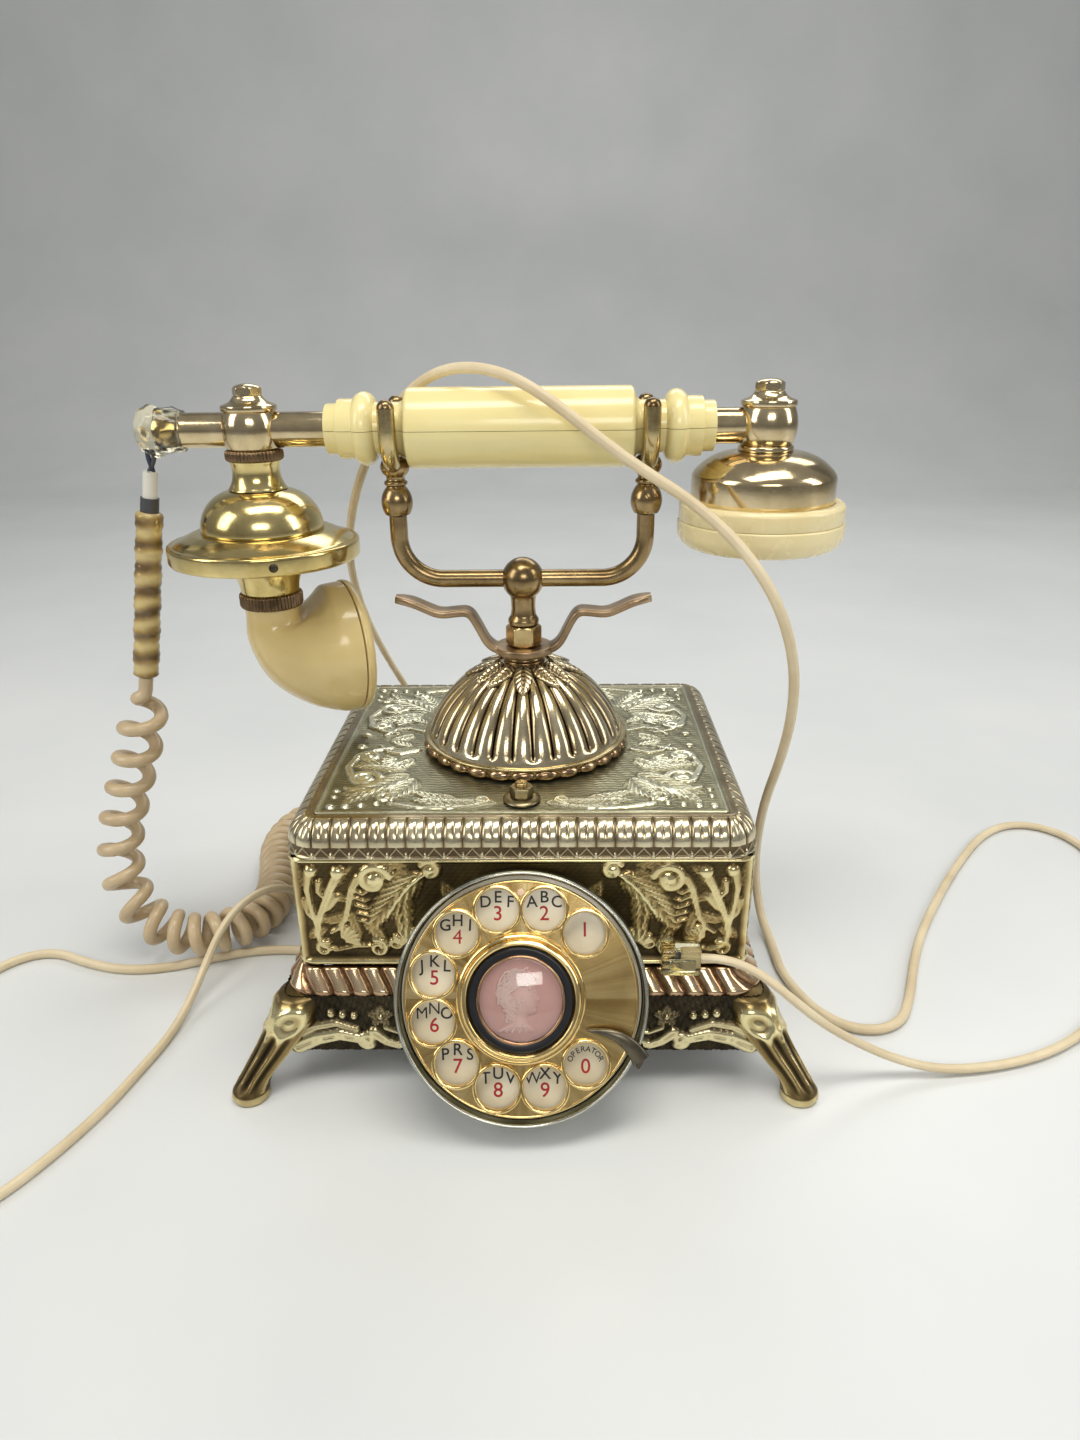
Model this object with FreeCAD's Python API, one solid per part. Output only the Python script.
import FreeCAD, Part
import math
import os

# An ornate cradle telephone with a rotary dial, in millimetres.
# Origin: on the table, below the middle of the base. The dial faces -Y and the handset lies along X.

V = FreeCAD.Vector
UP = V(0, 0, 1)

# Clearances
clear = 0.3          # between pieces that move past each other
fit = 0.02           # between pieces fixed in each other
running = 0.05       # radial clearance of shafts and pins

# Base casting
body_width = 151.0
body_depth = 134.0
body_top_z = 85.0
band_top_z = 43.5
band_bottom_z = 35.0
band_flare = 6.5
apron_bottom_z = 12.0
wall = 2.5
corner_radius = 5.0
knee_radius = 8.5
ankle_radius = 6.0
foot_radius = 6.8
foot_height = 3.0
foot_reach_x = 18.0
foot_reach_y = 14.0
knee_inset = 6.0
knee_drop = 8.0
shin_z = 16.0
ankle_z = 8.0

# Lid
lid_overhang = 1.0
lid_height = 12.5
lid_round = 8.0
lid_wall = 2.5
lid_corner = 10.0
lid_ledge = 6.0
lid_bolt_y = 50.0
lid_bolt_radius = 2.0
lid_nut_flats = 7.0
lid_nut_height = 3.6
lid_washer_radius = 6.2
lid_washer_thickness = 1.4
lid_bolt_proud = 1.6

# Base plate and its screws
plate_thickness = 1.6
plate_z = 14.0
plate_side_gap = 4.0
plate_front_y = -38.0
plate_back_y = 63.0
boss_radius = 4.0
boss_height = 14.0
boss_inset_x = 13.0
boss_back_y = 40.0
boss_front_y = -30.0
screw_radius = 1.5
screw_head_radius = 3.0
screw_head_height = 1.8

# Dome and what is clamped on top of it
ring_radius = 37.6
ring_height = 5.0
dome_radius = 36.5
dome_height = 32.0
dome_wall = 2.0
collar_radius = 7.2
collar_height = 3.5
bracket_ring_radius = 10.8
bracket_thickness = 2.8
bracket_width = 9.0
wing_reach = 46.0
wing_rise = 19.0
wing_knee_x = 20.0
wing_knee_rise = 14.0
nut_flats = 11.5
nut_height = 7.6

# Cradle
shaft_radius = 3.0
shaft_bottom_z = 69.5
stem_gap = 0.5
stem_foot_radius = 5.6
stem_neck_radius = 4.3
stem_height = 16.5
ball_radius = 7.6
yoke_tube_radius = 3.1
yoke_bend = 15.0
yoke_arm_height = 22.5
bead_radius = 5.4
socket_radius = 4.9
socket_rise = 12.0
rod_radius = 2.9
prong_height = 19.0

# Handset
handset_gap = 0.3
barrel_radius = 13.2
barrel_half_length = 38.0
neck_radius = 8.6
neck_length = 10.4
grip_ring_radius = 12.0
grip_ring_width = 6.8
step_radius = 9.8
step_width = 5.6
tip_radius = 8.3
tip_width = 4.2
tube_radius = 5.85
tube_wall = 1.0
tube_left_end = 123.0
mouth_x = -91.0
ear_x = 83.0
knob_radius = 10.0
knob_height = 12.5
cap_radius = 9.3
cap_disc = 1.8
cap_cone = 3.0
finial_flats = 8.6
finial_height = 3.8
knurl_radius = 9.8
knurl_height = 3.6
bell_neck_height = 9.6
bell_neck_radius = 8.0
bell_neck_flare = 10.2
bell_radius = 21.0
bell_height = 14.0
bell_wall = 1.2
flange_radius = 33.0
flange_thickness = 6.5
flange_screw_radius = 1.6
cone_top_radius = 16.0
cone_bottom_radius = 10.2
cone_height = 12.0
ring_knurl_radius = 11.2
ring_knurl_height = 5.4
horn_neck_radius = 9.6
horn_mouth_radius = 24.6
horn_wall = 2.2
horn_yaw = 28.0
horn_drop = 19.5
horn_reach = 26.0
mouth_cap_thickness = 4.0
transmitter_thickness = 8.0
ear_ring_height = 2.0
ear_shoulder = 6.5
ear_bell_radius = 24.4
ear_bell_height = 18.0
ear_collar_radius = 28.2
ear_collar_height = 6.5
ear_cap_radius = 28.6
ear_cap_height = 9.5
ear_cap_round = 6.0
ear_wall = 2.0
receiver_radius = 20.0
receiver_thickness = 9.0

# Dial
dial_y = -87.0
dial_z = 45.5
dial_tilt = 25.0
wheel_radius = 37.5
wheel_thickness = 1.6
finger_hole_radius = wheel_radius * 0.18133
finger_pitch_radius = wheel_radius * 0.77333
finger_hole_count = 10
first_hole_angle = 45.0
hole_step_angle = 30.0
hole_rim_width = 1.1
hole_rim_rise = 1.0
hub_ring_radius = wheel_radius * 0.544
hub_ring_width = wheel_radius * 0.096
hub_ring_rise = 3.4
bezel_rise = 2.6
lens_radius = wheel_radius * 0.36267
lens_rise = 4.4
cameo_rise = 1.2
number_plate_gap = 2.0
number_plate_thickness = 1.2
cup_wall = 1.6
wheel_rim_gap = 1.5
cup_radius = wheel_radius + wheel_rim_gap + cup_wall
cup_depth = 15.0
rim_rise = 0.6
movement_radius = 20.0
movement_depth = 22.0
movement_plate = 1.6
dial_shaft_radius = 2.4
main_gear_radius = 10.0
main_gear_thickness = 2.4
pinion_radius = 3.0
governor_radius = 5.0
stop_angle = -25.0
stop_inner_radius = wheel_radius * 0.60267
stop_width = 5.0
stop_thickness = 1.6
stop_lift = 3.2

# Hook switch and bell under the lid
strap_width = 24.0
strap_thickness = 1.6
lever_pivot_x = 19.0
lever_thickness = 2.0
lever_width = 6.0
lever_tip_x = -6.0
pin_radius = 1.5
gong_radius = 20.0
gong_wall = 1.4
gong_span = 25.0
gong_y = 34.0
gong_post_radius = 2.5
clapper_radius = 3.0
coil_radius = 8.0
coil_length = 24.0

# Cord exits through the back wall
grommet_radius = 4.0
line_exit_x = -57.0
curl_exit_x = -42.0
cord_exit_z = 24.0

# Cords
line_cord_diameter = 3.6
curl_wire_diameter = 5.2
curl_radius = 6.4
curl_gap = 0.75
plug_length = 13.0
plug_width = 10.0
plug_thickness = 7.0

# Places that follow from the sizes above
half_x = body_width / 2
half_y = body_depth / 2
apron_x = half_x + band_flare
apron_y = half_y + band_flare
lid_top_z = body_top_z + lid_height
ring_top_z = lid_top_z + ring_height
dome_top_z = lid_top_z + dome_height
bracket_z = dome_top_z + collar_height
nut_z = bracket_z + bracket_thickness
stem_z = nut_z + nut_height + stem_gap
ball_z = stem_z + stem_height
socket_z = ball_z + yoke_arm_height + bead_radius + socket_rise
handset_z = socket_z + rod_radius + handset_gap + neck_radius
neck_x = barrel_half_length + neck_length / 2
grip_end_x = barrel_half_length + neck_length + grip_ring_width + step_width + tip_width
dial_place = FreeCAD.Placement(V(0, dial_y, dial_z), FreeCAD.Rotation(V(1, 0, 0), 90 - dial_tilt))
knob_top_z = handset_z + knob_height / 2
knob_bottom_z = handset_z - knob_height / 2

cord_exits = [(line_exit_x, cord_exit_z), (curl_exit_x, cord_exit_z)]

parts = {}


def cyl(radius, height, base, direction=UP):
    return Part.makeCylinder(radius, height, base, direction)


def block(x0, x1, y0, y1, z0, z1):
    return Part.makeBox(x1 - x0, y1 - y0, z1 - z0, V(x0, y0, z0))


def rounded_block(width, depth, z0, z1, radius):
    shape = block(-width / 2, width / 2, -depth / 2, depth / 2, z0, z1)
    upright = [e for e in shape.Edges if abs(e.Vertexes[0].Z - e.Vertexes[1].Z) > (z1 - z0) / 2]
    return shape.makeFillet(radius, upright)


def rounded_wire(width, depth, z, radius):
    face = rounded_block(width, depth, z, z + 1, radius)
    low = min(face.Faces, key=lambda f: f.CenterOfMass.z)
    return low.OuterWire


def turned(points, x=0.0, y=0.0):
    """Solid of revolution about a vertical line; points are (radius, z) or arc triples marked by 'arc'."""
    edges = []
    start = V(points[0][0], 0, points[0][1])
    for item in points[1:]:
        if item[0] == 'arc':
            mid = V(item[1][0], 0, item[1][1])
            end = V(item[2][0], 0, item[2][1])
            edges.append(Part.Arc(start, mid, end).toShape())
        else:
            end = V(item[0], 0, item[1])
            edges.append(Part.LineSegment(start, end).toShape())
        start = end
    first = V(points[0][0], 0, points[0][1])
    if start.distanceToPoint(first) > 1e-6:
        edges.append(Part.LineSegment(start, first).toShape())
    face = Part.Face(Part.Wire(edges))
    solid = face.revolve(V(0, 0, 0), UP, 360)
    if solid.Volume < 0:
        solid.reverse()
    solid.translate(V(x, y, 0))
    return solid


def hex_prism(flats, height, z, x=0.0, y=0.0):
    corner = flats / math.sqrt(3)
    ring = [V(x + corner * math.cos(math.radians(60 * i)), y + corner * math.sin(math.radians(60 * i)),
              z) for i in range(7)]
    return Part.Face(Part.makePolygon(ring)).extrude(V(0, 0, height))


def add(name, shape):
    parts[name] = shape


def leg_solid(side_x, side_y):
    knee = V(apron_x - knee_inset, apron_y - knee_inset, 0)
    foot = V(half_x + foot_reach_x, half_y + foot_reach_y, 0)
    stations = [(band_bottom_z - 1, 0.0, knee_radius - 0.6),
                (band_bottom_z - knee_drop, 0.15, knee_radius),
                (shin_z, 0.52, (knee_radius + ankle_radius) / 2), (ankle_z, 0.86, ankle_radius),
                (foot_height, 1.0, foot_radius), (0.0, 1.0, foot_radius - 0.8),]
    rings = []
    for z, share, radius in stations:
        centre = knee + (foot - knee) * share
        middle = V(side_x * centre.x, side_y * centre.y, z)
        rings.append(Part.Wire(Part.Circle(middle, UP, radius).toShape()))
    return Part.makeLoft(rings, True, False)


def flared_band(inset):
    top = rounded_wire(body_width - 2 * inset, body_depth - 2 * inset, band_top_z, corner_radius)
    low = rounded_wire(2 * apron_x - 2 * inset, 2 * apron_y - 2 * inset, band_bottom_z, corner_radius)
    return Part.makeLoft([low, top], True, True)


def boss_places():
    x = half_x - boss_inset_x
    return [(sx * x, y) for sx in (-1, 1) for y in (boss_front_y, boss_back_y)]


def base_casting():
    outer = rounded_block(body_width, body_depth, band_top_z, body_top_z, corner_radius)
    outer = outer.fuse(flared_band(0))
    outer = outer.fuse(rounded_block(2 * apron_x, 2 * apron_y, apron_bottom_z, band_bottom_z,
                                     corner_radius))
    inner = rounded_block(body_width - 2 * wall, body_depth - 2 * wall, band_top_z, body_top_z,
                          corner_radius - wall / 2)
    inner = inner.fuse(flared_band(wall))
    inner = inner.fuse(rounded_block(2 * apron_x - 2 * wall, 2 * apron_y - 2 * wall, apron_bottom_z,
                                     band_bottom_z, corner_radius - wall / 2))
    shell = outer.cut(inner)
    for side_x in (-1, 1):
        for side_y in (-1, 1):
            shell = shell.fuse(leg_solid(side_x, side_y))
    boss_z = plate_z + plate_thickness
    for x, y in boss_places():
        post = cyl(boss_radius, boss_height, V(x, y, boss_z))
        reach = math.copysign(apron_x - wall / 2, x)
        rib = block(min(x, reach), max(x, reach), y - wall / 2, y + wall / 2, boss_z,
                    boss_z + boss_height)
        shell = shell.fuse(post).fuse(rib)
        shell = shell.cut(cyl(screw_radius + fit, boss_height - 2, V(x, y, boss_z)))
    recess = cyl(cup_radius + 0.1, 3 * cup_depth, V(0, 0, -cup_depth - 0.1))
    hole = cyl(movement_radius + 1, 3 * movement_depth, V(0, 0, -2 * movement_depth - cup_depth))
    for tool in (recess, hole):
        tool.Placement = dial_place
        shell = shell.cut(tool)
    for x, z in cord_exits:
        shell = shell.cut(cyl(grommet_radius + fit, 4 * wall, V(x, apron_y - 2 * wall, z), V(0, 1, 0)))
    return shell.removeSplitter()


def base_plate():
    x = apron_x - wall - plate_side_gap
    plate = block(-x, x, plate_front_y, plate_back_y, plate_z, plate_z + plate_thickness)
    for bx, by in boss_places():
        plate = plate.cut(cyl(screw_radius + fit, plate_thickness, V(bx, by, plate_z)))
    return plate


def base_screws():
    screws = []
    for x, y in boss_places():
        head = cyl(screw_head_radius, screw_head_height, V(x, y, plate_z - screw_head_height))
        thread = cyl(screw_radius, plate_thickness + boss_height / 2, V(x, y, plate_z))
        screws.append(head.fuse(thread))
    return Part.makeCompound(screws)


def grommets():
    rings = []
    for x, z in cord_exits:
        body = cyl(grommet_radius, wall, V(x, apron_y - wall, z), V(0, 1, 0))
        lip = cyl(grommet_radius + 1.5, 1.5, V(x, apron_y, z), V(0, 1, 0))
        rings.append(body.fuse(lip))
    return Part.makeCompound(rings)


def lid_cover():
    lid = rounded_block(body_width + 2 * lid_overhang, body_depth + 2 * lid_overhang, body_top_z,
                        lid_top_z, lid_corner)
    rim = [e for e in lid.Edges if min(v.Z for v in e.Vertexes) > lid_top_z - 0.01]
    lid = lid.makeFillet(lid_round, rim)
    hollow = rounded_block(body_width - 2 * lid_ledge, body_depth - 2 * lid_ledge, body_top_z,
                           lid_top_z - lid_wall, lid_corner - lid_ledge)
    lid = lid.cut(hollow)
    lid = lid.cut(cyl(shaft_radius + running, lid_height, V(0, 0, body_top_z)))
    for y in (-lid_bolt_y, lid_bolt_y):
        lid = lid.cut(cyl(lid_bolt_radius + fit, lid_height, V(0, y, body_top_z)))
    return lid


def lid_bolts():
    low = lid_top_z - lid_wall - strap_thickness - lid_nut_height
    top = lid_top_z + lid_washer_thickness + lid_nut_height + lid_bolt_proud
    bolts = []
    for y in (-lid_bolt_y, lid_bolt_y):
        head = hex_prism(lid_nut_flats, lid_nut_height, low, 0, y)
        bolts.append(head.fuse(cyl(lid_bolt_radius, top - low, V(0, y, low))))
    return Part.makeCompound(bolts)


def lid_nuts():
    nuts = []
    for y in (-lid_bolt_y, lid_bolt_y):
        nut = hex_prism(lid_nut_flats, lid_nut_height, lid_top_z + lid_washer_thickness, 0, y)
        nuts.append(nut.cut(cyl(lid_bolt_radius + fit, lid_nut_height * 3, V(0, y, lid_top_z))))
    return Part.makeCompound(nuts)


def lid_washers():
    rings = []
    for y in (-lid_bolt_y, lid_bolt_y):
        ring = cyl(lid_washer_radius, lid_washer_thickness, V(0, y, lid_top_z))
        rings.append(ring.cut(cyl(lid_bolt_radius + fit, lid_washer_thickness, V(0, y, lid_top_z))))
    return Part.makeCompound(rings)


def dome_ring():
    inner = dome_radius - 2 * dome_wall
    return turned([(inner, lid_top_z), (ring_radius, lid_top_z),
                   ('arc', (ring_radius + 0.8, lid_top_z + ring_height / 2),
                    (ring_radius - 0.6, ring_top_z)), (inner, ring_top_z)])


def dome():
    flat = collar_radius + 1
    slant = math.sqrt(0.5)
    bore = shaft_radius + running
    top = dome_top_z
    outer_mid = (dome_radius * slant, lid_top_z + dome_height * slant)
    inner_mid = ((dome_radius - dome_wall) * slant, lid_top_z + (dome_height - dome_wall) * slant)
    return turned([(bore, top), (flat, top), ('arc', outer_mid, (dome_radius, ring_top_z)),
                   (dome_radius - dome_wall, ring_top_z), ('arc', inner_mid, (flat, top - dome_wall)),
                   (bore, top - dome_wall)])


def dome_collar():
    bore = shaft_radius + running
    return turned([(bore, dome_top_z), (collar_radius, dome_top_z), (collar_radius - 0.4, bracket_z),
                   (bore, bracket_z)])


def wing_bracket():
    mid = bracket_z + bracket_thickness / 2
    half = bracket_thickness / 2
    line = [(bracket_ring_radius - 2, mid), (bracket_ring_radius + 1, mid + 1),
            (wing_knee_x - 3, mid + wing_knee_rise - 3), (wing_knee_x + 3, mid + wing_knee_rise),
            (wing_reach - 12, mid + wing_rise - 4), (wing_reach, mid + wing_rise)]
    upper = []
    lower = []
    for i, (x, z) in enumerate(line):
        before = line[max(i - 1, 0)]
        after = line[min(i + 1, len(line) - 1)]
        slope = math.atan2(after[1] - before[1], after[0] - before[0])
        upper.append(V(x - half * math.sin(slope), -bracket_width / 2, z + half * math.cos(slope)))
        lower.append(V(x + half * math.sin(slope), -bracket_width / 2, z - half * math.cos(slope)))
    outline = Part.makePolygon(upper + lower[::-1] + upper[:1])
    wing = Part.Face(outline).extrude(V(0, bracket_width, 0))
    ring = cyl(bracket_ring_radius, bracket_thickness, V(0, 0, bracket_z))
    bracket = ring.fuse(wing).fuse(wing.mirror(V(0, 0, 0), V(1, 0, 0)))
    return bracket.cut(cyl(shaft_radius + running, bracket_thickness * 3,
                           V(0, 0, bracket_z - bracket_thickness)))


def stem_nut():
    nut = hex_prism(nut_flats, nut_height, nut_z)
    return nut.cut(cyl(shaft_radius + running, nut_height, V(0, 0, nut_z)))


def cradle_stem():
    neck_z = stem_z + 0.35 * stem_height
    shoulder = ball_radius * 0.6
    below = math.sqrt(ball_radius ** 2 - shoulder ** 2)
    stem = turned([(0, shaft_bottom_z), (shaft_radius, shaft_bottom_z), (shaft_radius, stem_z),
                   (stem_foot_radius, stem_z), (stem_foot_radius, stem_z + 1.5),
                   (stem_neck_radius, neck_z), (shoulder, ball_z - below),
                   ('arc', (ball_radius, ball_z), (0, ball_z + ball_radius))])
    return stem.cut(cyl(yoke_tube_radius + fit, 4 * ball_radius, V(-2 * ball_radius, 0, ball_z),
                        V(1, 0, 0)))


def cradle_yoke():
    top = ball_z + yoke_arm_height
    slant = yoke_bend * (1 - math.sqrt(0.5))
    path = [Part.LineSegment(V(-neck_x, 0, top), V(-neck_x, 0, ball_z + yoke_bend)),
            Part.Arc(V(-neck_x, 0, ball_z + yoke_bend), V(-neck_x + slant, 0, ball_z + slant),
                     V(-neck_x + yoke_bend, 0, ball_z)),
            Part.LineSegment(V(-neck_x + yoke_bend, 0, ball_z), V(neck_x - yoke_bend, 0, ball_z)),
            Part.Arc(V(neck_x - yoke_bend, 0, ball_z), V(neck_x - slant, 0, ball_z + slant),
                     V(neck_x, 0, ball_z + yoke_bend)),
            Part.LineSegment(V(neck_x, 0, ball_z + yoke_bend), V(neck_x, 0, top)),]
    spine = Part.Wire([edge.toShape() for edge in path])
    section = Part.Wire(Part.Circle(V(-neck_x, 0, top), UP, yoke_tube_radius).toShape())
    return spine.makePipeShell([section], True, False)


def fork_rod(x):
    bend = neck_radius + handset_gap + rod_radius
    tip_z = handset_z + prong_height - bend
    ring = Part.makeTorus(bend, rod_radius, V(x, 0, handset_z), V(1, 0, 0))
    rod = ring.common(block(x - 2 * rod_radius, x + 2 * rod_radius, -2 * bend, 2 * bend,
                            handset_z - 2 * bend, handset_z))
    for y in (-bend, bend):
        rod = rod.fuse(cyl(rod_radius, tip_z - handset_z, V(x, y, handset_z)))
        rod = rod.fuse(Part.makeSphere(rod_radius, V(x, y, tip_z)))
    return rod.removeSplitter()


def fork_socket(x):
    low = ball_z + yoke_arm_height
    bead_z = low + bead_radius
    waist_z = bead_z + bead_radius
    socket = turned([(0, low), (yoke_tube_radius + 0.8, low),
                     ('arc', (bead_radius, bead_z), (yoke_tube_radius, waist_z - 0.6)),
                     (yoke_tube_radius + 0.9, waist_z), (yoke_tube_radius + 0.9, waist_z + 1),
                     (yoke_tube_radius, waist_z + 1.5),
                     ('arc', (socket_radius, socket_z), (0, socket_z + socket_radius))], x)
    socket = socket.cut(cyl(neck_radius + handset_gap + 1, 4 * socket_radius,
                            V(x - 2 * socket_radius, 0, handset_z), V(1, 0, 0)))
    return socket.cut(fork_rod(x))


def turned_x(points):
    solid = turned(points)
    solid.rotate(V(0, 0, 0), V(0, 1, 0), 90)
    solid.translate(V(0, 0, handset_z))
    return solid


def grip():
    a = barrel_half_length
    b = a + neck_length
    c = b + grip_ring_width
    d = c + step_width
    e = d + tip_width
    bore = tube_radius + fit
    right = [(barrel_radius - 1.2, a), (neck_radius + 1.2, a + 0.8),
             ('arc', (neck_radius + 0.3, a + 1.6), (neck_radius, a + 3)), (neck_radius, b),
             ('arc', (grip_ring_radius, (b + c) / 2), (step_radius + 0.6, c)), (step_radius, c),
             (step_radius, d), (tip_radius, d), (tip_radius, e), (bore, e)]
    outline = [(bore, -e), (tip_radius, -e), (tip_radius, -d), (step_radius, -d), (step_radius, -c),
               (step_radius + 0.6, -c), ('arc', (grip_ring_radius, -(b + c) / 2), (neck_radius, -b)),
               (neck_radius, -a - 3), ('arc', (neck_radius + 0.3, -a - 1.6),
                                       (neck_radius + 1.2, -a - 0.8)), (barrel_radius - 1.2, -a),
               ('arc', (barrel_radius - 0.35, -a + 0.35), (barrel_radius, -a + 1.2)),
               (barrel_radius, a - 1.2), ('arc', (barrel_radius - 0.35, a - 0.35),
                                          (barrel_radius - 1.2, a))] + right[1:]
    return turned_x(outline)


def grip_half(sign):
    size = 2 * grip_end_x
    z0 = handset_z if sign > 0 else handset_z - size
    return grip().common(block(-size, size, -size, size, z0, z0 + size))


def handset_tube():
    length = ear_x + knob_radius / 2 + tube_left_end
    tube = cyl(tube_radius, length, V(-tube_left_end, 0, handset_z), V(1, 0, 0))
    return tube.cut(cyl(tube_radius - tube_wall, length, V(-tube_left_end, 0, handset_z), V(1, 0, 0)))


def knob(x, bore_end):
    flat = cap_radius - 0.7
    ball = turned([(0, knob_bottom_z), (flat, knob_bottom_z),
                   ('arc', (knob_radius, handset_z), (flat, knob_top_z)), (0, knob_top_z)], x)
    return ball.cut(cyl(tube_radius + fit, bore_end, V(x - 2 * knob_radius, 0, handset_z), V(1, 0, 0)))


def knob_cap(x):
    top = knob_top_z + cap_disc
    return turned([(0, knob_top_z), (cap_radius, knob_top_z), (cap_radius, top),
                   (cap_radius - 1.5, top + 0.4), (finial_flats / 2 + 0.6, top + cap_cone),
                   (0, top + cap_cone)], x)


def finial(x):
    low = knob_top_z + cap_disc + cap_cone
    nut = hex_prism(finial_flats, finial_height, low, x)
    crown = turned([(0, low), (finial_flats / 2 + 0.5, low),
                    (finial_flats / 2 + 0.5, low + finial_height - 1.4),
                    ('arc', (finial_flats / 3, low + finial_height - 0.3), (0, low + finial_height))], x)
    return nut.common(crown)


# Heights down the mouthpiece, from the knob to the horn
knurl_z = knob_bottom_z - knurl_height
bell_top_z = knurl_z - bell_neck_height
flange_top_z = bell_top_z - bell_height
flange_drop = 3.6
rim_top_z = flange_top_z - flange_drop
rim_bottom_z = rim_top_z - flange_thickness
cone_bottom_z = rim_bottom_z - cone_height
horn_top_z = cone_bottom_z - ring_knurl_height


def mouth_collar():
    return turned([(0, knurl_z), (knurl_radius - 0.5, knurl_z), (knurl_radius, knurl_z + 0.6),
                   (knurl_radius, knob_bottom_z - 0.6), (knurl_radius - 0.5, knob_bottom_z),
                   (0, knob_bottom_z)], mouth_x)


def mouth_neck():
    return turned([(0, bell_top_z), (bell_neck_flare, bell_top_z),
                   ('arc', (bell_neck_radius, bell_top_z + 0.6 * bell_neck_height),
                    (bell_neck_radius + 0.8, knurl_z)), (0, knurl_z)], mouth_x)


def mouth_bell():
    slant = math.sqrt(0.5)
    inner = bell_neck_flare - 2
    mid_r = inner + (bell_radius - inner) * slant
    mid_z = flange_top_z + bell_height * slant
    return turned([(0, bell_top_z), (inner, bell_top_z),
                   ('arc', (mid_r, mid_z), (bell_radius, flange_top_z)),
                   (bell_radius - bell_wall, flange_top_z),
                   ('arc', (mid_r - bell_wall, mid_z - bell_wall),
                    (inner - bell_wall, bell_top_z - bell_wall)), (0, bell_top_z - bell_wall)], mouth_x)


def mouth_flange():
    lip = flange_radius - 2.2
    disc = turned([(0, rim_bottom_z), (flange_radius - 0.8, rim_bottom_z),
                   (flange_radius, rim_bottom_z + 0.8), (flange_radius, rim_top_z - 0.6),
                   (flange_radius - 0.6, rim_top_z), (lip, rim_top_z), (lip - 1, rim_top_z + 0.8),
                   (bell_radius + 2.5, flange_top_z), (0, flange_top_z)], mouth_x)
    for shape in flange_screw_solids():
        disc = disc.cut(shape)
    return disc


def flange_screw_solids():
    middle = (rim_bottom_z + rim_top_z) / 2
    solids = []
    for angle in (-70, 50, 170):
        out = V(math.cos(math.radians(angle)), math.sin(math.radians(angle)), 0)
        start = V(mouth_x, 0, middle) + out * (flange_radius - 8)
        solids.append(cyl(flange_screw_radius, 8.4, start, out))
    return solids


def mouth_cone():
    return turned([(0, cone_bottom_z), (cone_bottom_radius, cone_bottom_z),
                   ('arc', (cone_bottom_radius + 1.2, cone_bottom_z + 0.5 * cone_height),
                    (cone_top_radius, rim_bottom_z)), (0, rim_bottom_z)], mouth_x)


def mouth_ring():
    return turned([(0, horn_top_z), (ring_knurl_radius - 0.7, horn_top_z),
                   (ring_knurl_radius, horn_top_z + 0.8), (ring_knurl_radius, cone_bottom_z - 0.8),
                   (ring_knurl_radius - 0.7, cone_bottom_z), (0, cone_bottom_z)], mouth_x)


horn_place = FreeCAD.Placement(V(mouth_x, 0, horn_top_z), FreeCAD.Rotation(UP, horn_yaw))
mouth_place = horn_place.multiply(FreeCAD.Placement(V(horn_reach, 0, -horn_drop),
                                                    FreeCAD.Rotation(V(0, 1, 0), 90)))


def horn_loft(inset):
    swell = horn_mouth_radius - horn_neck_radius
    # turn of the section in degrees, share of the reach, share of the drop, share of the swell
    stations = [(0, 0.0, 0.0, 0.0), (0, 0.0, 0.28, 0.01), (30, 0.08, 0.46, 0.23), (55, 0.25, 0.72, 0.53),
                (75, 0.5, 0.9, 0.79), (90, 0.77, 1.0, 0.97), (90, 1.0, 1.0, 1.0)]
    rings = []
    for turn, reach, drop, grow in stations:
        ring = Part.Wire(Part.Circle(V(0, 0, 0), UP, horn_neck_radius + swell * grow - inset).toShape())
        ring.Placement = FreeCAD.Placement(V(horn_reach * reach, 0, -horn_drop * drop),
                                           FreeCAD.Rotation(V(0, 1, 0), 180 - turn))
        rings.append(ring)
    return Part.makeLoft(rings, True, False)


def mouth_horn():
    horn = horn_loft(0).cut(horn_loft(horn_wall))
    horn.Placement = horn_place
    return horn


def mouth_cap():
    spigot = cyl(horn_mouth_radius - horn_wall - clear, 3.6, V(0, 0, -3))
    disc = cyl(horn_mouth_radius + 0.4, mouth_cap_thickness, V(0, 0, 0.6))
    cap = disc.makeFillet(1.4, [disc.Edges[0]]).fuse(spigot)
    for i in range(6):
        angle = math.radians(60 * i)
        cap = cap.cut(cyl(1.2, 12, V(8 * math.cos(angle), 8 * math.sin(angle), -4)))
    cap.Placement = mouth_place
    return cap.removeSplitter()


def transmitter():
    capsule = cyl(horn_mouth_radius - 3 * horn_wall, transmitter_thickness,
                  V(0, 0, -3 - transmitter_thickness))
    capsule.Placement = mouth_place
    return capsule


# Heights down the earpiece
ear_bell_top_z = knob_bottom_z - ear_ring_height
ear_bell_bottom_z = ear_bell_top_z - ear_bell_height
ear_collar_top_z = ear_bell_bottom_z + 1.5
ear_collar_bottom_z = ear_collar_top_z - ear_collar_height
ear_cap_bottom_z = ear_collar_bottom_z - ear_cap_height


def ear_base_ring():
    return turned([(0, ear_bell_top_z), (cap_radius, ear_bell_top_z), (cap_radius, knob_bottom_z - 0.6),
                   (cap_radius - 0.5, knob_bottom_z), (0, knob_bottom_z)], ear_x)


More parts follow.
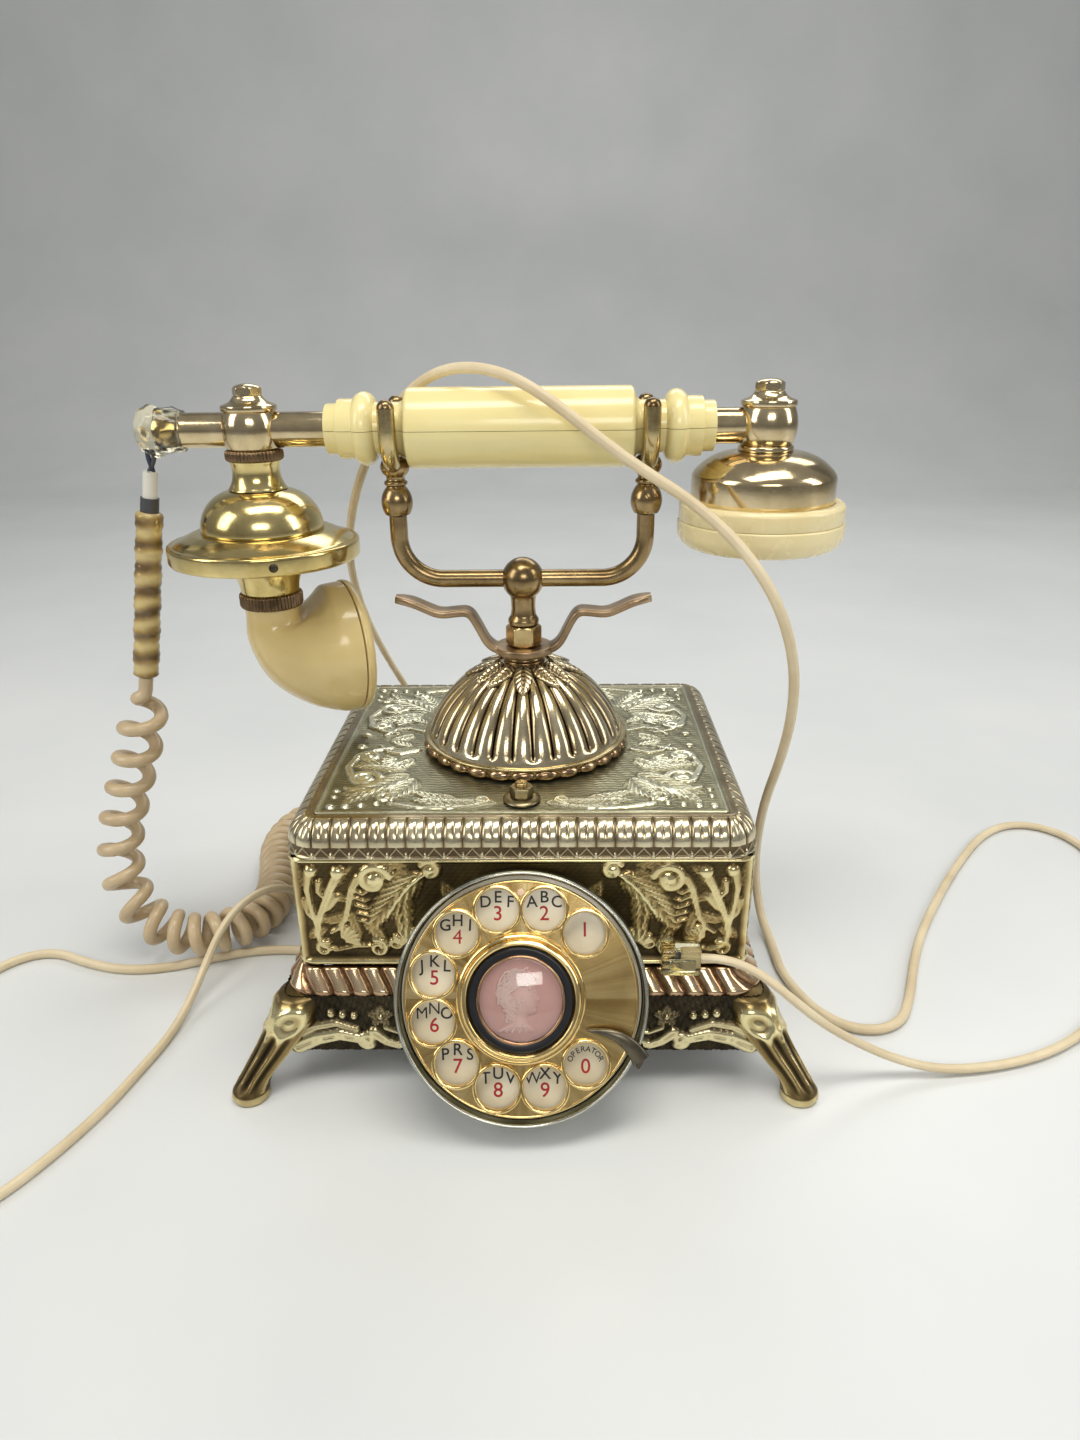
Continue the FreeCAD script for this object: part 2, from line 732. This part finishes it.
def ear_bell():
    top = ear_bell_top_z
    edge_z = top - ear_shoulder
    low = ear_bell_bottom_z
    r = ear_bell_radius
    return turned([(0, top), (cap_radius, top), ('arc', (0.72 * r, top - 0.3 * ear_shoulder),
                                                 (r - 1, edge_z)), (r, edge_z - 1.5), (r, low),
                   (r - ear_wall, low), (r - ear_wall, edge_z - 2),
                   ('arc', (0.7 * r, top - 0.3 * ear_shoulder - ear_wall), (cap_radius, top - ear_wall)),
                   (0, top - ear_wall)], ear_x)


def ear_collar():
    bore = ear_bell_radius + fit
    return turned([(ear_bell_radius - ear_wall, ear_collar_bottom_z),
                   (ear_collar_radius, ear_collar_bottom_z), (ear_collar_radius, ear_collar_top_z - 1),
                   (ear_collar_radius - 1, ear_collar_top_z), (bore, ear_collar_top_z),
                   (bore, ear_bell_bottom_z), (ear_bell_radius - ear_wall, ear_bell_bottom_z)], ear_x)


def ear_cap():
    low = ear_cap_bottom_z
    top = ear_collar_bottom_z
    r = ear_cap_radius
    s = ear_cap_round * (1 - math.sqrt(0.5))
    cap = turned([(0, low), (r - ear_cap_round, low),
                  ('arc', (r - s, low + s), (r, low + ear_cap_round)), (r, top),
                  (receiver_radius + clear, top), (receiver_radius + clear, low + ear_wall),
                  (0, low + ear_wall)], ear_x)
    for i in range(6):
        angle = math.radians(60 * i)
        cap = cap.cut(cyl(1.2, 3 * ear_wall, V(ear_x + 7 * math.cos(angle), 7 * math.sin(angle),
                                               low - ear_wall)))
    return cap


def receiver():
    return cyl(receiver_radius, receiver_thickness, V(ear_x, 0, ear_cap_bottom_z + ear_wall))


def on_dial(shape):
    shape.Placement = dial_place
    return shape


def ring_solid(outer, inner, low, high):
    return cyl(outer, high - low, V(0, 0, low)).cut(cyl(inner, high - low, V(0, 0, low)))


# Levels along the dial axis, counted from the middle of the finger wheel
wheel_top = wheel_thickness / 2
plate_top = -wheel_top - number_plate_gap
cup_floor_top = plate_top - number_plate_thickness
front_plate_top = -cup_depth
back_plate_top = -cup_depth - movement_depth + movement_plate
gear_low = (front_plate_top + back_plate_top) / 2
governor_distance = main_gear_radius + pinion_radius + clear


def finger_wheel():
    wheel = cyl(wheel_radius, wheel_thickness, V(0, 0, -wheel_top))
    for i in range(finger_hole_count):
        angle = math.radians(first_hole_angle + i * hole_step_angle)
        middle = V(finger_pitch_radius * math.cos(angle), finger_pitch_radius * math.sin(angle),
                   -wheel_top)
        wheel = wheel.fuse(cyl(finger_hole_radius + hole_rim_width, wheel_thickness + hole_rim_rise,
                               middle))
    for i in range(finger_hole_count):
        angle = math.radians(first_hole_angle + i * hole_step_angle)
        middle = V(finger_pitch_radius * math.cos(angle), finger_pitch_radius * math.sin(angle),
                   -2 * wheel_thickness)
        wheel = wheel.cut(cyl(finger_hole_radius, 6 * wheel_thickness, middle))
    wheel = wheel.cut(cyl(dial_shaft_radius + fit, 4 * wheel_thickness, V(0, 0, -2 * wheel_thickness)))
    return on_dial(wheel.removeSplitter())


def hub_ring():
    inner = hub_ring_radius - hub_ring_width
    middle = (hub_ring_radius + inner) / 2
    crown = wheel_top + hub_ring_rise
    return on_dial(turned([(inner, wheel_top), (hub_ring_radius, wheel_top),
                           ('arc', (middle + 0.6, crown), (inner, crown - 1.2))]))


def dial_bezel():
    outer = hub_ring_radius - hub_ring_width - fit
    return on_dial(ring_solid(outer, lens_radius + fit, wheel_top, wheel_top + bezel_rise))


def cameo_disc():
    return on_dial(cyl(lens_radius - clear, cameo_rise, V(0, 0, wheel_top)))


def cameo_lens():
    low = wheel_top + cameo_rise
    bulge = lens_rise - cameo_rise
    rim = lens_radius - clear
    sphere_radius = (rim ** 2 + bulge ** 2) / (2 * bulge)
    sphere = Part.makeSphere(sphere_radius, V(0, 0, low + bulge - sphere_radius))
    return on_dial(sphere.common(cyl(rim + 1, 2 * bulge, V(0, 0, low))))


def number_plate():
    plate = cyl(cup_radius - cup_wall - clear, number_plate_thickness, V(0, 0, cup_floor_top))
    return on_dial(plate.cut(cyl(dial_shaft_radius + running, 2 * number_plate_thickness,
                                 V(0, 0, cup_floor_top))))


def dial_cup():
    cup = cyl(cup_radius, cup_depth + wheel_top + rim_rise, V(0, 0, -cup_depth))
    inside = cup_radius - cup_wall
    cup = cup.cut(cyl(inside, cup_depth, V(0, 0, cup_floor_top)))
    cup = cup.cut(cyl(inside, cup_depth + cup_floor_top - cup_wall, V(0, 0, -cup_depth)))
    cup = cup.cut(cyl(dial_shaft_radius + running, cup_depth, V(0, 0, -cup_depth)))
    return on_dial(cup)


def finger_stop():
    outer = cup_radius + stop_thickness
    top = stop_lift + stop_thickness
    arm = block(stop_inner_radius, outer, -stop_width / 2, stop_width / 2, stop_lift, top)
    foot = block(cup_radius - cup_wall / 2, outer, -stop_width / 2, stop_width / 2, -cup_depth / 2, top)
    cup_space = cyl(cup_radius, 2 * cup_depth, V(0, 0, -cup_depth))
    cup_space = cup_space.cut(cyl(cup_radius, cup_depth, V(0, 0, wheel_top + rim_rise)))
    stop = arm.fuse(foot.cut(cup_space))
    stop.rotate(V(0, 0, 0), UP, stop_angle)
    return on_dial(stop.removeSplitter())


def movement_frame():
    low = -cup_depth - movement_depth
    frame = cyl(movement_radius, movement_plate, V(0, 0, front_plate_top - movement_plate))
    frame = frame.fuse(cyl(movement_radius, movement_plate, V(0, 0, low)))
    post_top = cup_floor_top - cup_wall
    for angle in (30, 150, 270):
        place = V(0.86 * movement_radius * math.cos(math.radians(angle)),
                  0.86 * movement_radius * math.sin(math.radians(angle)), low)
        frame = frame.fuse(cyl(screw_radius, post_top - low, place))
    frame = frame.cut(cyl(dial_shaft_radius + running, 3 * movement_depth, V(0, 0, low)))
    frame = frame.cut(cyl(pin_radius + running, movement_depth,
                          V(governor_distance, 0, low + movement_plate / 2)))
    return on_dial(frame.removeSplitter())


def dial_shaft():
    low = -cup_depth - movement_depth
    return on_dial(cyl(dial_shaft_radius, wheel_top - low, V(0, 0, low)))


def toothed_disc(tip_radius, tooth_depth, teeth, low, high):
    corners = []
    for i in range(teeth):
        for share, radius in ((0.0, tip_radius - tooth_depth), (0.3, tip_radius), (0.55, tip_radius),
                              (0.85, tip_radius - tooth_depth)):
            angle = 2 * math.pi * (i + share) / teeth
            corners.append(V(radius * math.cos(angle), radius * math.sin(angle), low))
    return Part.Face(Part.makePolygon(corners + corners[:1])).extrude(V(0, 0, high - low))


def main_gear():
    gear = toothed_disc(main_gear_radius, 0.8, 40, gear_low, gear_low + main_gear_thickness)
    return on_dial(gear)


def governor():
    low = -cup_depth - movement_depth + movement_plate / 2
    top = front_plate_top - movement_plate / 2
    wheel = toothed_disc(pinion_radius, 0.8, 12, gear_low, gear_low + main_gear_thickness)
    wheel = wheel.fuse(cyl(pin_radius, top - low, V(0, 0, low)))
    wheel = wheel.fuse(cyl(governor_radius, gear_low - back_plate_top - 2, V(0, 0, back_plate_top + 1)))
    wheel.translate(V(governor_distance, 0, 0))
    return on_dial(wheel.removeSplitter())


def spring_barrel():
    outer = governor_distance - governor_radius - 2 * clear
    return on_dial(ring_solid(outer, dial_shaft_radius + running, back_plate_top, gear_low - 1.5))


def switch_strap():
    top = lid_top_z - lid_wall
    low = top - strap_thickness
    reach = lid_bolt_y + 2 * lid_bolt_radius
    tab = lever_pivot_x + 16
    strap = block(-strap_width / 2, strap_width / 2, -reach, reach, low, top)
    strap = strap.fuse(block(0, tab, -lever_width, lever_width, low, top))
    ear_low = shaft_bottom_z - 5
    for sign in (-1, 1):
        y = sign * (lever_width / 2 + clear + strap_thickness / 2)
        ear = block(lever_pivot_x - 4, lever_pivot_x + 4, y - strap_thickness / 2,
                    y + strap_thickness / 2, ear_low, low)
        strap = strap.fuse(ear)
    strap = strap.cut(cyl(shaft_radius + running, 3 * strap_thickness, V(0, 0, low - strap_thickness)))
    strap = strap.cut(cyl(pin_radius + fit, 4 * lever_width, V(lever_pivot_x, -2 * lever_width, lever_z),
                          V(0, 1, 0)))
    for y in (-lid_bolt_y, lid_bolt_y):
        strap = strap.cut(cyl(lid_bolt_radius + fit, 3 * strap_thickness, V(0, y, low - strap_thickness)))
    return strap.removeSplitter()


lever_z = shaft_bottom_z - clear - lever_thickness / 2


def lever_pin():
    length = lever_width + 2 * clear + 2 * strap_thickness
    return cyl(pin_radius, length, V(lever_pivot_x, -length / 2, lever_z), V(0, 1, 0))


def hook_lever():
    half = lever_thickness / 2
    arm = block(lever_tip_x, lever_pivot_x, -lever_width / 2, lever_width / 2, lever_z - half,
                lever_z + half)
    hub = cyl(2.2 * pin_radius, lever_width, V(lever_pivot_x, -lever_width / 2, lever_z), V(0, 1, 0))
    return arm.fuse(hub).cut(cyl(pin_radius + running, 2 * lever_width,
                                 V(lever_pivot_x, -lever_width, lever_z), V(0, 1, 0)))


def contact_stack():
    top = lid_top_z - lid_wall - strap_thickness
    x0 = lever_pivot_x + 6
    stack = block(x0, x0 + 9, -lever_width + 1, lever_width - 1, top - 12, top)
    for i in range(3):
        stack = stack.fuse(block(x0 + 1.5 + 3 * i, x0 + 2 + 3 * i, -2, 2, top - 24, top - 12))
    return stack.removeSplitter()


floor_z = plate_z + plate_thickness
gong_rim_z = floor_z + 24


def gong(side):
    x = side * gong_span
    slant = math.sqrt(0.5)
    top = gong_rim_z + gong_radius
    inner = gong_radius - gong_wall
    return turned([(gong_post_radius + fit, top - gong_wall), (gong_post_radius + fit, top),
                   (gong_post_radius + 1, top),
                   ('arc', (gong_radius * slant, gong_rim_z + gong_radius * slant),
                    (gong_radius, gong_rim_z)), (inner, gong_rim_z),
                   ('arc', (inner * slant, gong_rim_z + inner * slant),
                    (gong_post_radius + 1, top - gong_wall))], x, gong_y)


def gong_posts():
    posts = []
    for side in (-1, 1):
        top = gong_rim_z + gong_radius
        rod = cyl(gong_post_radius, top + 1.5 - floor_z, V(side * gong_span, gong_y, floor_z))
        seat = cyl(gong_post_radius + 0.8, 3, V(side * gong_span, gong_y, top - gong_wall - 3))
        posts.append(rod.fuse(seat))
    return Part.makeCompound(posts)


clapper_pivot_y = gong_y + 21.0
clapper_z = gong_rim_z + 2


def ringer_frame():
    frame = block(-18, 18, clapper_pivot_y - 3, plate_back_y - 2, floor_z, floor_z + 2)
    return frame.fuse(cyl(pin_radius, clapper_z + 5 - floor_z, V(0, clapper_pivot_y - 1, floor_z)))


def clapper():
    y = clapper_pivot_y - 1
    hub = cyl(2 * pin_radius, 5, V(0, y, clapper_z - 2.5))
    arm = cyl(1, y - gong_y, V(0, gong_y, clapper_z), V(0, 1, 0))
    ball = Part.makeSphere(clapper_radius, V(0, gong_y, clapper_z))
    body = hub.fuse(arm).fuse(ball)
    return body.cut(cyl(pin_radius + running, 12, V(0, y, clapper_z - 6)))


def ringer_coils():
    coils = []
    for side in (-1, 1):
        low = floor_z + 2
        coils.append(cyl(coil_radius - 1.5, coil_length - 4,
                         V(side * (coil_radius + 3), plate_back_y - 9, low)))
    return Part.makeCompound(coils)


def network_block():
    box = block(-apron_x + 12, -gong_span - gong_radius - 4, -22, 12, floor_z, floor_z + 26)
    return box.makeFillet(2, box.Edges)


def terminal_block():
    x0 = gong_span + gong_radius + 4
    box = block(x0, x0 + 18, -20, 12, floor_z, floor_z + 10)
    for i in range(4):
        box = box.fuse(cyl(2.4, 3, V(x0 + 9, -15 + 8 * i, floor_z + 10)))
    return box.removeSplitter()


# The taped cord end below the handset tube
lead_top = V(-126.5, 0, handset_z - 7.5)
lead_bottom = V(-141.6, 0, 124.5)
lead_line = (lead_bottom - lead_top).normalize()
lead_length = lead_bottom.distanceToPoint(lead_top)
sleeve_start = 7.0
clamp_start = 15.0
wrap_start = 20.0
sleeve_radius = 2.6
clamp_radius = 3.2
wrap_radius = 4.8
tape_radius = 8.4
tape_length = 15.0


def along_lead(radius, start, end):
    return cyl(radius, end - start, lead_top + lead_line * start, lead_line)


def tube_tape():
    left = tube_left_end + 6
    right = left - tape_length
    skin = tube_radius + fit
    tape = turned_x([(0, -left), (tape_radius - 2.5, -left),
                     ('arc', (tape_radius, -left + 4), (skin + 0.8, -right)), (skin, -right),
                     (skin, -tube_left_end), (0, -tube_left_end)])
    return tape.cut(along_lead(sleeve_radius + fit, -6, sleeve_start))


def cord_tube(name, points, radius):
    """A round tube on straight runs joined by tangent arcs as large as the runs allow."""
    pts = [V(*p) for p in points]
    edges = []
    start = pts[0]
    radii = []
    for i in range(1, len(pts) - 1):
        back = pts[i - 1] - pts[i]
        ahead = pts[i + 1] - pts[i]
        turn = math.pi - back.getAngle(ahead)
        reach = 0.45 * min(back.Length, ahead.Length)
        radii.append(reach / math.tan(turn / 2))
        back.normalize()
        ahead.normalize()
        enter = pts[i] + back * reach
        leave = pts[i] + ahead * reach
        sag = (back + ahead).normalize() * (radii[-1] / math.cos(turn / 2) - radii[-1])
        edges.append(Part.LineSegment(start, enter).toShape())
        edges.append(Part.Arc(enter, pts[i] + sag, leave).toShape())
        start = leave
    edges.append(Part.LineSegment(start, pts[-1]).toShape())
    spine = Part.Wire(edges)
    section = Part.Wire(Part.Circle(pts[0], pts[1] - pts[0], radius).toShape())
    tube = spine.makePipeShell([section], True, False)
    plain = math.pi * radius ** 2 * spine.Length
    print(name, 'length', round(spine.Length, 1), 'least radius', round(min(radii), 1), 'volume share',
          round(tube.Volume / plain, 4))
    return tube


cord_z = line_cord_diameter / 2 + 0.4
plug_back_y = -half_y - 0.2
plug_y = plug_back_y - plug_thickness / 2
plug_mid_z = band_top_z + clear + plug_width / 2
back_y = apron_y + 1.5

# Out of the back wall, round the rear foot, over the curls, off to the left,
# back under the curls and the base
line_left = [(line_exit_x, back_y, cord_exit_z), (line_exit_x, back_y + 9, cord_exit_z),
             (line_exit_x - 6, back_y + 19, 19.5), (line_exit_x - 17, back_y + 26, 11),
             (-91, 102.5, 4.5), (-104, 97, cord_z), (-108.5, 84, cord_z), (-107, 71, cord_z),
             (-102, 56, cord_z), (-98, 41, 3), (-99, 28, 10), (-104, 18, 20), (-110, 9, 26),
             (-117, -3, 27), (-123, -15, 22), (-127, -26, 12), (-130, -39, 4), (-132, -55, cord_z),
             (-136, -72, cord_z), (-140.6, -90, cord_z), (-148, -108, cord_z), (-157, -124, cord_z),
             (-169, -138, cord_z),
             (-186, -145, cord_z), (-202, -140, cord_z), (-213, -126, cord_z), (-218, -107, cord_z),
             (-221, -84, cord_z), (-223, -60, cord_z), (-224, -36, cord_z), (-221, -17, cord_z),
             (-211, -5, cord_z), (-198, -2.5, cord_z), (-183, -10, cord_z),
             (-165, -15, cord_z), (-147, -13, cord_z), (-130, -6, cord_z),
             (-113, -1, cord_z), (-96, -1, cord_z), (-79, -4, cord_z), (-62, -2, cord_z),
             (-46, 7, cord_z), (-33, 20, cord_z), (-24, 37, cord_z), (-19, 56, cord_z),
             (-17, 75, cord_z), (-17, 90, cord_z)]

# Up from the table behind the base, over the grip, down in front of the earpiece and beside the base
line_drape = [(-17, 90, cord_z), (-17, 103, cord_z), (-24, 116, 12), (-35, 118, 28), (-48, 112, 52),
              (-60, 100, 80), (-69, 84, 108), (-73, 64, 135), (-72, 46, 160), (-65, 31, 184),
              (-54, 23, 206), (-41, 16, 222), (-27, 7, 230.5), (-13, -2, 231.5), (0, -11, 228),
              (13, -17.5, 220), (26, -20.5, 210), (40, -23, 200.5), (56, -28, 191), (71, -34, 178),
              (83, -37, 161), (91, -33, 140), (95, -22, 117), (96, -8, 93), (95, 7, 68), (96, 19, 44),
              (98, 26, 24), (99.5, 24.5, 12.5), (100.5, 17.5, 5), (102, 7, cord_z), (102, -4, cord_z)]

# Over the table to the right, round and back to the plug on the ledge below the front panel
line_right = [(102, -4, cord_z), (102, -15, cord_z), (105, -28, cord_z), (110, -40, cord_z),
              (119, -49, cord_z), (130, -51, cord_z), (140, -46, cord_z), (147, -34, cord_z),
              (153, -20, cord_z), (160, -4, cord_z), (169, 13, cord_z), (181, 32, cord_z),
              (195, 53, cord_z),
              (212, 76, cord_z), (228, 95, cord_z), (244, 106, cord_z), (259, 106, cord_z),
              (270, 96, cord_z), (274, 80, cord_z), (272, 60, cord_z), (264, 36, cord_z),
              (253, 12, cord_z), (239, -12, cord_z), (223, -34, cord_z), (205, -52, cord_z),
              (184, -64, cord_z), (162, -70, cord_z),
              (143, -72, 3), (127, -72.5, 8.5), (113, -75, 17.5), (100, -78.5, 28), (89, -79.5, 38.5),
              (79, -76, 46), (68, plug_y, plug_mid_z), (59, plug_y, plug_mid_z)]


def curl_axis():
    """The line that the curls wind about, from the taped end to the back wall."""
    points = [lead_bottom, lead_bottom + lead_line * 9, V(-149, 0, 96), V(-157, 0, 76),
              V(-163.5, -1, 56), V(-164, -3, 37), V(-156, -6, 22), V(-142, -8, 14.5), V(-127, -5, 13.6),
              V(-116, 8, 11.5), V(-114, 28, 9.8), V(-118, 50, 9.8), V(-124, 72, 9.8), V(-120, 95, 9.8),
              V(-103, 111, 9.8), V(-81, 114, 12), V(-61, 108, 17), V(curl_exit_x - 3, 95, 22),
              V(curl_exit_x, back_y + 7, cord_exit_z), V(curl_exit_x, back_y, cord_exit_z)]
    curve = Part.BSplineCurve()
    curve.interpolate(points, InitialTangent=lead_line, FinalTangent=V(0, -1, 0))
    return curve


def arc_points(start, tangent, end):
    chord = end - start
    along = V(chord).normalize()
    side = tangent - along * tangent.dot(along)
    bend = tangent.getAngle(along)
    if side.Length < 1e-9:
        return None
    return start + chord * 0.5 + side.normalize() * (chord.Length / 2 * math.tan(bend / 2))


def biarc(p0, t0, p1, t1):
    span = p1 - p0
    both = t0 + t1
    k = 2 * (t0.dot(t1) - 1)
    b = -2 * span.dot(both)
    c = span.dot(span)
    reach = -c / b if abs(k) < 1e-9 else (-b - math.sqrt(b * b - 4 * k * c)) / (2 * k)
    joint = (p0 + p1 + (t0 - t1) * reach) * 0.5
    first = Part.Arc(p0, arc_points(p0, t0, joint), joint).toShape()
    second = Part.Arc(joint, arc_points(p1, t1 * -1, joint), p1).toShape()
    return [first, second]


def curly_cord():
    axis = curl_axis()
    length = axis.length()
    count = 900
    params = [axis.parameterAtDistance(length * i / count, axis.FirstParameter) for i in range(count + 1)]
    spots = [axis.value(u) for u in params]
    ways = [V(*axis.tangent(u)[0]) for u in params]
    sides = [V(0, 1, 0)]
    for way in ways[1:]:
        side = sides[-1] - way * sides[-1].dot(way)
        sides.append(side.normalize())
    step = length / count
    straight = 1.2 * curl_wire_diameter
    ramp = 9.0
    open_pitch = 13.5
    open_length = 92.0
    phases = [0.0]
    for i in range(count):
        s = i * step
        blend_in = min(max((s - open_length) / 40, 0), 1)
        blend_out = min(max((s - (length - 24)) / 16, 0), 1)
        first = max(i - 9, 0)
        last = min(i + 9, count)
        bend = ways[first].getAngle(ways[last]) / ((last - first) * step)
        tight = (curl_wire_diameter + curl_gap) / (1 - curl_radius * bend)
        pitch = open_pitch + (tight - open_pitch) * blend_in * blend_in * (3 - 2 * blend_in)
        pitch = pitch + (open_pitch - pitch) * blend_out
        phases.append(phases[-1] + 2 * math.pi * step / pitch)

    def point(s):
        i = min(max(s / step, 0), count - 1e-6)
        a = int(i)
        f = i - a
        way = (ways[a] * (1 - f) + ways[a + 1] * f).normalize()
        side = sides[a] * (1 - f) + sides[a + 1] * f
        side = (side - way * side.dot(way)).normalize()
        over = way.cross(side)
        phase = phases[a] * (1 - f) + phases[a + 1] * f
        grow = min(max(min(s - straight, length - straight - s) / ramp, 0), 1)
        radius = curl_radius * grow * grow * (3 - 2 * grow)
        on_axis = spots[a] * (1 - f) + spots[a + 1] * f
        return on_axis + side * (radius * math.cos(phase)) + over * (radius * math.sin(phase))

    stations = [0.0, straight]
    quarter = math.pi / 2
    goal = phases[int(straight / step)] + quarter
    for i in range(count):
        while phases[i + 1] >= goal and phases[i] < goal:
            s = (i + (goal - phases[i]) / (phases[i + 1] - phases[i])) * step
            if straight + 1.5 < s < length - straight - 1.5:
                stations.append(s)
            goal += quarter
    stations += [length - straight, length]
    spans = []
    eps = 0.05
    places = [point(s) for s in stations]
    tangents = [(point(s + eps) - point(s - eps)).normalize() for s in stations]
    tangents[0] = tangents[1] = ways[0]
    tangents[-1] = tangents[-2] = ways[-1]
    spans.append(Part.LineSegment(places[0], places[0] + ways[0] * straight).toShape())
    places[1] = places[0] + ways[0] * straight
    places[-2] = places[-1] - ways[-1] * straight
    for i in range(1, len(stations) - 2):
        spans += biarc(places[i], tangents[i], places[i + 1], tangents[i + 1])
    spans.append(Part.LineSegment(places[-2], places[-1]).toShape())
    spine = Part.Wire(spans)
    section = Part.Wire(Part.Circle(places[0], ways[0], curl_wire_diameter / 2).toShape())
    cord = spine.makePipeShell([section], True, False)
    samples = [point(0.35 * k) for k in range(int(length / 0.35))]
    run = [0.0]
    for before, after in zip(samples, samples[1:]):
        run.append(run[-1] + before.distanceToPoint(after))
    near = 4 * curl_wire_diameter
    least = length
    for i in range(len(samples)):
        for j in range(i + 1, min(i + 120, len(samples))):
            if run[j] - run[i] > near:
                least = min(least, samples[i].distanceToPoint(samples[j]))
    turns = phases[-1] / (2 * math.pi)
    plain = math.pi * (curl_wire_diameter / 2) ** 2 * spine.Length
    print('curly cord turns', round(turns, 1), 'wire length', round(spine.Length, 1), 'axis',
          round(length, 1), 'least gap', round(least - curl_wire_diameter, 2), 'volume share',
          round(cord.Volume / plain, 4))
    return cord


def modular_plug():
    low = band_top_z + clear
    x1 = line_right[-1][0]
    plug = block(x1 - plug_length, x1, plug_back_y - plug_thickness, plug_back_y, low, low + plug_width)
    return plug.makeFillet(0.8, plug.Edges)


add('base_casting', base_casting())
add('base_plate', base_plate().fuse(gong_posts()).removeSplitter())
add('base_screws', base_screws())
add('cord_grommets', grommets())
add('lid_cover', lid_cover())
add('lid_bolts', Part.makeCompound(lid_bolts().Solids + lid_nuts().Solids + lid_washers().Solids))
add('dome_ring', dome_ring())
add('dome_pedestal', dome())
add('dome_collar', dome_collar())
add('wing_bracket', wing_bracket())
add('stem_nut', stem_nut())
add('cradle_stem', cradle_stem())
add('cradle_yoke', cradle_yoke())
add('fork_sockets', Part.makeCompound([fork_socket(-neck_x), fork_socket(neck_x)]))
add('fork_left', fork_rod(-neck_x))
add('fork_right', fork_rod(neck_x))
add('grip_upper', grip_half(1))
add('grip_lower', grip_half(-1))
add('handset_tube', handset_tube())
add('mouth_knob', knob(mouth_x, 4 * knob_radius))
add('ear_knob', knob(ear_x, 2.5 * knob_radius))
add('knob_caps', Part.makeCompound([knob_cap(mouth_x), knob_cap(ear_x)]))
add('finials', Part.makeCompound([finial(mouth_x), finial(ear_x)]))
add('knurled_rings', Part.makeCompound([mouth_collar(), mouth_ring()]))
add('mouth_neck', mouth_neck())
add('mouth_bell', mouth_bell())
add('mouth_flange', mouth_flange())
add('flange_screws', Part.makeCompound(flange_screw_solids()))
add('mouth_cone', mouth_cone())
add('mouth_horn', mouth_horn())
add('mouth_cap', mouth_cap())
add('ear_base_ring', ear_base_ring())
add('ear_bell', ear_bell())
add('ear_collar', ear_collar())
add('ear_cap', ear_cap())
add('voice_capsules', Part.makeCompound([transmitter(), receiver()]))
add('finger_wheel', finger_wheel())
add('hub_ring', hub_ring())
add('dial_bezel', dial_bezel())
add('cameo_disc', cameo_disc())
add('cameo_lens', cameo_lens())
add('number_plate', number_plate())
add('dial_cup', dial_cup())
add('finger_stop', finger_stop())
add('dial_movement', movement_frame().fuse(spring_barrel()).removeSplitter())
add('dial_shaft', dial_shaft().fuse(main_gear()).removeSplitter())
add('governor', governor())
add('switch_strap', switch_strap().fuse(lever_pin()).removeSplitter())
add('hook_lever', hook_lever())
add('contact_stack', contact_stack())
add('ringer_frame', ringer_frame().fuse(Part.makeCompound(ringer_coils().Solids)).removeSplitter())
add('gongs', Part.makeCompound([gong(-1), gong(1)]))
add('clapper', clapper())
add('circuit_blocks', Part.makeCompound([network_block(), terminal_block()]))
add('taped_cord_end', Part.makeCompound([tube_tape(), along_lead(sleeve_radius, 0, clamp_start),
                                         along_lead(clamp_radius, clamp_start, wrap_start),
                                         along_lead(wrap_radius, wrap_start, lead_length)]))
add('curly_cord', curly_cord())
add('line_cord_left', cord_tube('line_cord_left', line_left, line_cord_diameter / 2))
add('line_cord_drape', cord_tube('line_cord_drape', line_drape, line_cord_diameter / 2))
add('line_cord_right', cord_tube('line_cord_right', line_right, line_cord_diameter / 2))
add('modular_plug', modular_plug())

os.makedirs('parts', exist_ok=True)
for name, shape in parts.items():
    shape.exportStep('parts/' + name + '.step')
print(len(parts), 'nodes')
